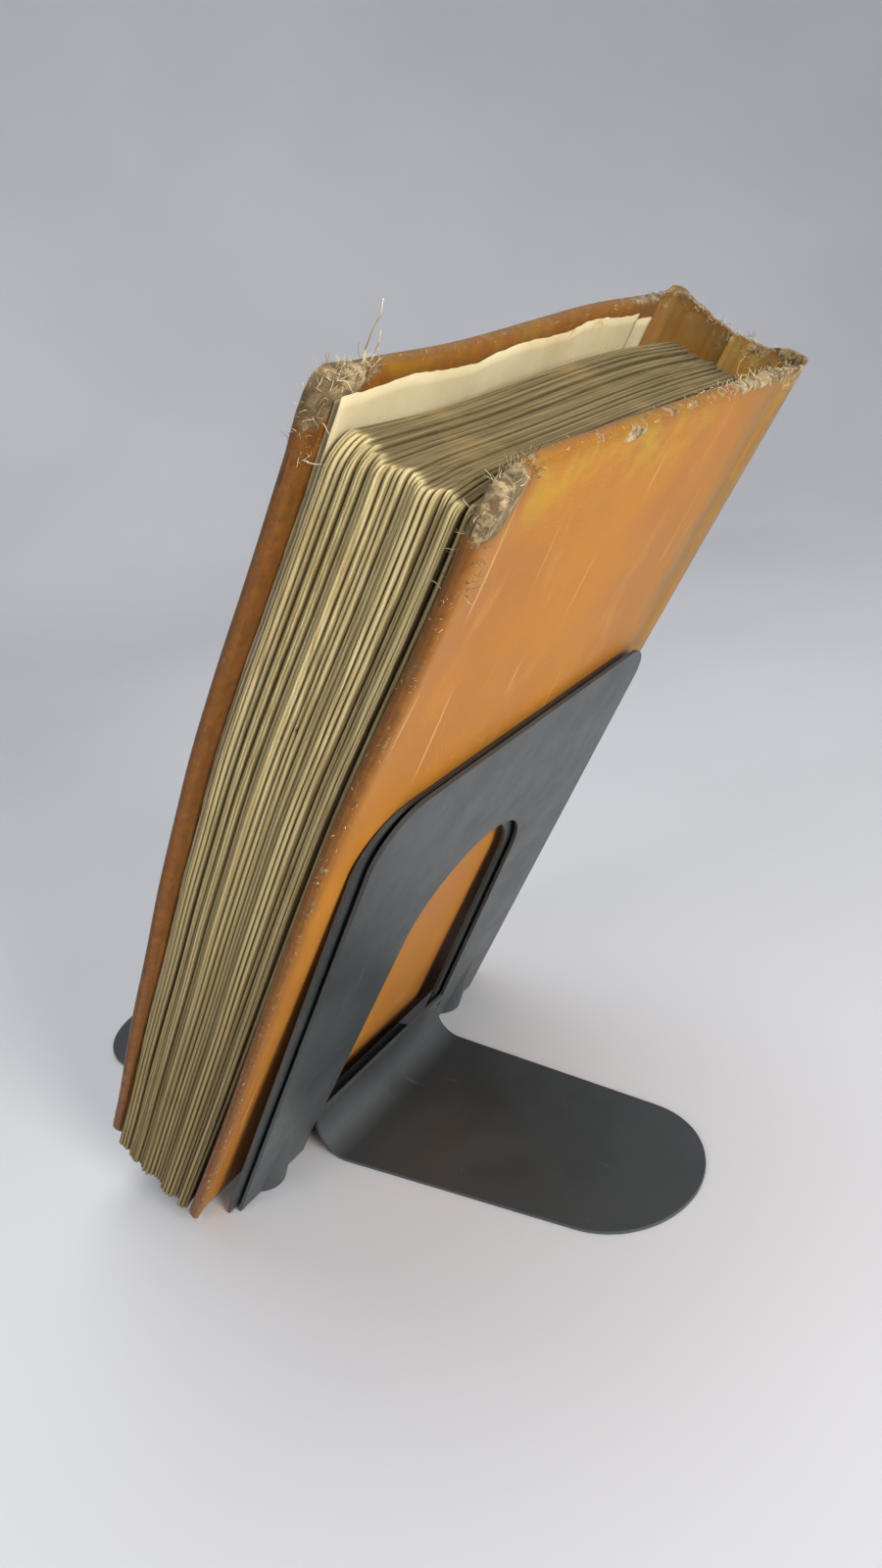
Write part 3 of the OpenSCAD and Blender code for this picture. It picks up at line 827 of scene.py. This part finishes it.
# two loose threads stand up from the far corner
tall = [(33.0, 12, 238.8), (33.2, 11.6, 241.5), (33.1, 11.9, 244.5), (32.8, 12.4, 247.2),
        (33.0, 12.2, 249.6)]
bent = [(32.8, 12.5, 238.8), (32.5, 13.2, 240.8), (32.9, 14.2, 242.8), (33.3, 14.4, 244.6)]
tall = [(a + float(warp_far(12, 238)) + 5.5, b, c) for a, b, c in tall]
bent = [(a + float(warp_far(12, 238)) + 5.5, b, c) for a, b, c in bent]
fibres("far_corner_fray", "far_cover", FIBRE, 190, 7, far_corner_root, 0.9, (-0.1, -0.35, 0.8), (1.2, 4.2),
       extra=((tall, 0.16), (bent, 0.13)))


def near_head_root(rng):
    v = rng.uniform(82, 127)
    return rng.uniform(0.2, SKIN) + warp_near(v, 238), v, COVER_H - 0.9


loose = [(2.0, 104, 239.2), (2.6, 102.5, 240.8), (3.0, 100.5, 241.8), (3.6, 100.8, 243.6),
         (3.4, 102.0, 245.0)]
fibres("near_head_fray", "near_cover", FIBRE, 200, 8, near_head_root, 0.8, (0.2, -0.1, 0.8), (0.8, 2.8),
       extra=((loose, 0.13),))


def near_head_fine(rng):
    v = rng.uniform(8, 84)
    return rng.uniform(0.2, 3.0) + warp_near(v, 238), v, COVER_H - 0.6


fibres("near_head_nap", "near_cover", FIBRE, 150, 9, near_head_fine, 0.8, (0, 0, 0.7), (0.4, 1.3),
       (0.04, 0.08))


def far_head_root(rng):
    v = rng.uniform(14, 127) if rng.random() < 0.6 else rng.uniform(98, 127)
    return ALBUM_T - rng.uniform(0.2, 3.0) + warp_far(v, 239), v, COVER_H - 0.7


fibres("far_head_nap", "far_cover", FIBRE, 170, 10, far_head_root, 0.8, (0, 0, 0.7), (0.4, 1.6),
       (0.04, 0.09))


def cap_root(rng):
    t = rng.uniform(2, 37)
    return t, 141.4 + 0.6 * math.sin(t), COVER_H - 1.6 + 0.8 * math.sin(t * 0.9)


fibres("head_cap_fray", "page_block", FIBRE, 150, 11, cap_root, 0.8, (0, 0, 0.6), (0.6, 2.6),
       (0.04, 0.09))


def fore_root(rng):
    w = rng.uniform(6, 222)
    return rng.uniform(0.1, 2.6) + warp_near(0.5, w), rng.uniform(0.2, 1.0), w


fibres("near_fore_nap", "near_cover", FIBRE, 420, 12, fore_root, 0.6, (-0.2, -0.7, 0), (0.3, 1.1),
       (0.03, 0.07))


def foot_root(rng):
    v, w = (rng.uniform(0.8, 2.4), rng.uniform(2, 9)) if rng.random() < 0.5 else (rng.uniform(1.5, 9), 1.0)
    return rng.uniform(0.2, SKIN) + warp_near(v, w), v, w


fibres("near_foot_fray", "near_cover", FIBRE, 70, 13, foot_root, 0.7, (0, -0.8, 0.25), (0.6, 2.0),
       (0.04, 0.09))

# ---------------------------------------------------------------- bookends keep their CAD shape
for node in ("outer_bookend", "inner_bookend"):
    use(frame["nodes"][node], STEEL)


# ---------------------------------------------------------------- backdrop, light and camera
def stage_material():
    m, nt, bsdf = material("pale_sweep")
    g = G(nt)
    obj = g.obj()
    bsdf.inputs["Roughness"].default_value = 0.75
    g.put(bsdf.inputs["Base Color"], g.mix(g.step(g.noise(obj, 2.2, 3), 0.3, 0.7), rgb(214, 214, 216),
                                           rgb(222, 222, 224)))
    return m


def sweep():
    """A round floor that curves up far outside the object, so that every view has the same plain backdrop."""
    radius, curve, height = 1.5, 0.7, 1.6
    prof = [(0.001, 0.0), (0.4, 0.0), (radius - curve, 0.0)]
    prof += [(radius - curve + curve * math.sin(a), curve - curve * math.cos(a))
             for a in np.linspace(0, math.pi / 2, 25)[1:]]
    prof += [(radius, height)]
    turns = 72
    verts = [(x * math.cos(t), x * math.sin(t), z - 0.0002)
             for t in np.linspace(0, 2 * math.pi, turns, endpoint=False) for x, z in prof]
    ob = new_object("studio_sweep", verts, strip_faces(turns, len(prof), close_n=True))
    use(ob, stage_material())
    return ob


sweep()


def area(name, loc, target, size, power, colour=(1, 1, 1), spread=180):
    data = bpy.data.lights.new(name, "AREA")
    data.shape = "DISK"
    data.size = size
    data.energy = power
    data.spread = math.radians(spread)
    data.color = colour
    ob = bpy.data.objects.new(name, data)
    bpy.context.scene.collection.objects.link(ob)
    ob.visible_camera = False
    d = np.array(target, float) - np.array(loc, float)
    d /= np.linalg.norm(d)
    z = -d
    x = np.cross([0, 0, 1.0], z)
    x /= np.linalg.norm(x)
    y = np.cross(z, x)
    ob.matrix_world = Matrix([[x[0], y[0], z[0], loc[0]], [x[1], y[1], z[1], loc[1]],
                              [x[2], y[2], z[2], loc[2]], [0, 0, 0, 1]])
    return ob


area("key", (0.98, -0.30, 0.34), (0, 0, 0.1), 0.42, 2.5, (1.0, 0.985, 0.96), 80)
area("fill", (0.0, -1.1, 0.8), (0, 0, 0.08), 0.8, 4.0, (0.96, 0.98, 1.0))
area("top", (0.1, 0.25, 1.3), (0, 0, 0), 0.9, 6.0, (0.97, 0.98, 1.0))
world = bpy.data.worlds.new("studio")
bpy.context.scene.world = world
world.use_nodes = True
world.node_tree.nodes["Background"].inputs[0].default_value = (0.80, 0.86, 0.95, 1)
world.node_tree.nodes["Background"].inputs[1].default_value = 0.36
bpy.context.scene.view_settings.view_transform = "Standard"
bpy.context.scene.view_settings.look = "None"

cam = bpy.data.cameras.new("camera")
cam_ob = bpy.data.objects.new("camera", cam)
bpy.context.scene.collection.objects.link(cam_ob)
cam.sensor_width = 36.0
cam.lens = 23.92
cam.clip_start, cam.clip_end = 0.01, 20
heading, pitch, roll = math.radians(129.52), math.radians(-21.5), math.radians(-11.38)
d = np.array([math.cos(pitch) * math.cos(heading), math.cos(pitch) * math.sin(heading), math.sin(pitch)])
r = np.cross(d, [0, 0, 1.0])
r /= np.linalg.norm(r)
u = np.cross(r, d)
right, up = math.cos(roll) * r + math.sin(roll) * u, -math.sin(roll) * r + math.cos(roll) * u
place = (0.2075, -0.1928, 0.2112)
cam_ob.matrix_world = Matrix([[right[k], up[k], -d[k], place[k]] for k in range(3)] + [[0, 0, 0, 1]])
bpy.context.scene.camera = cam_ob
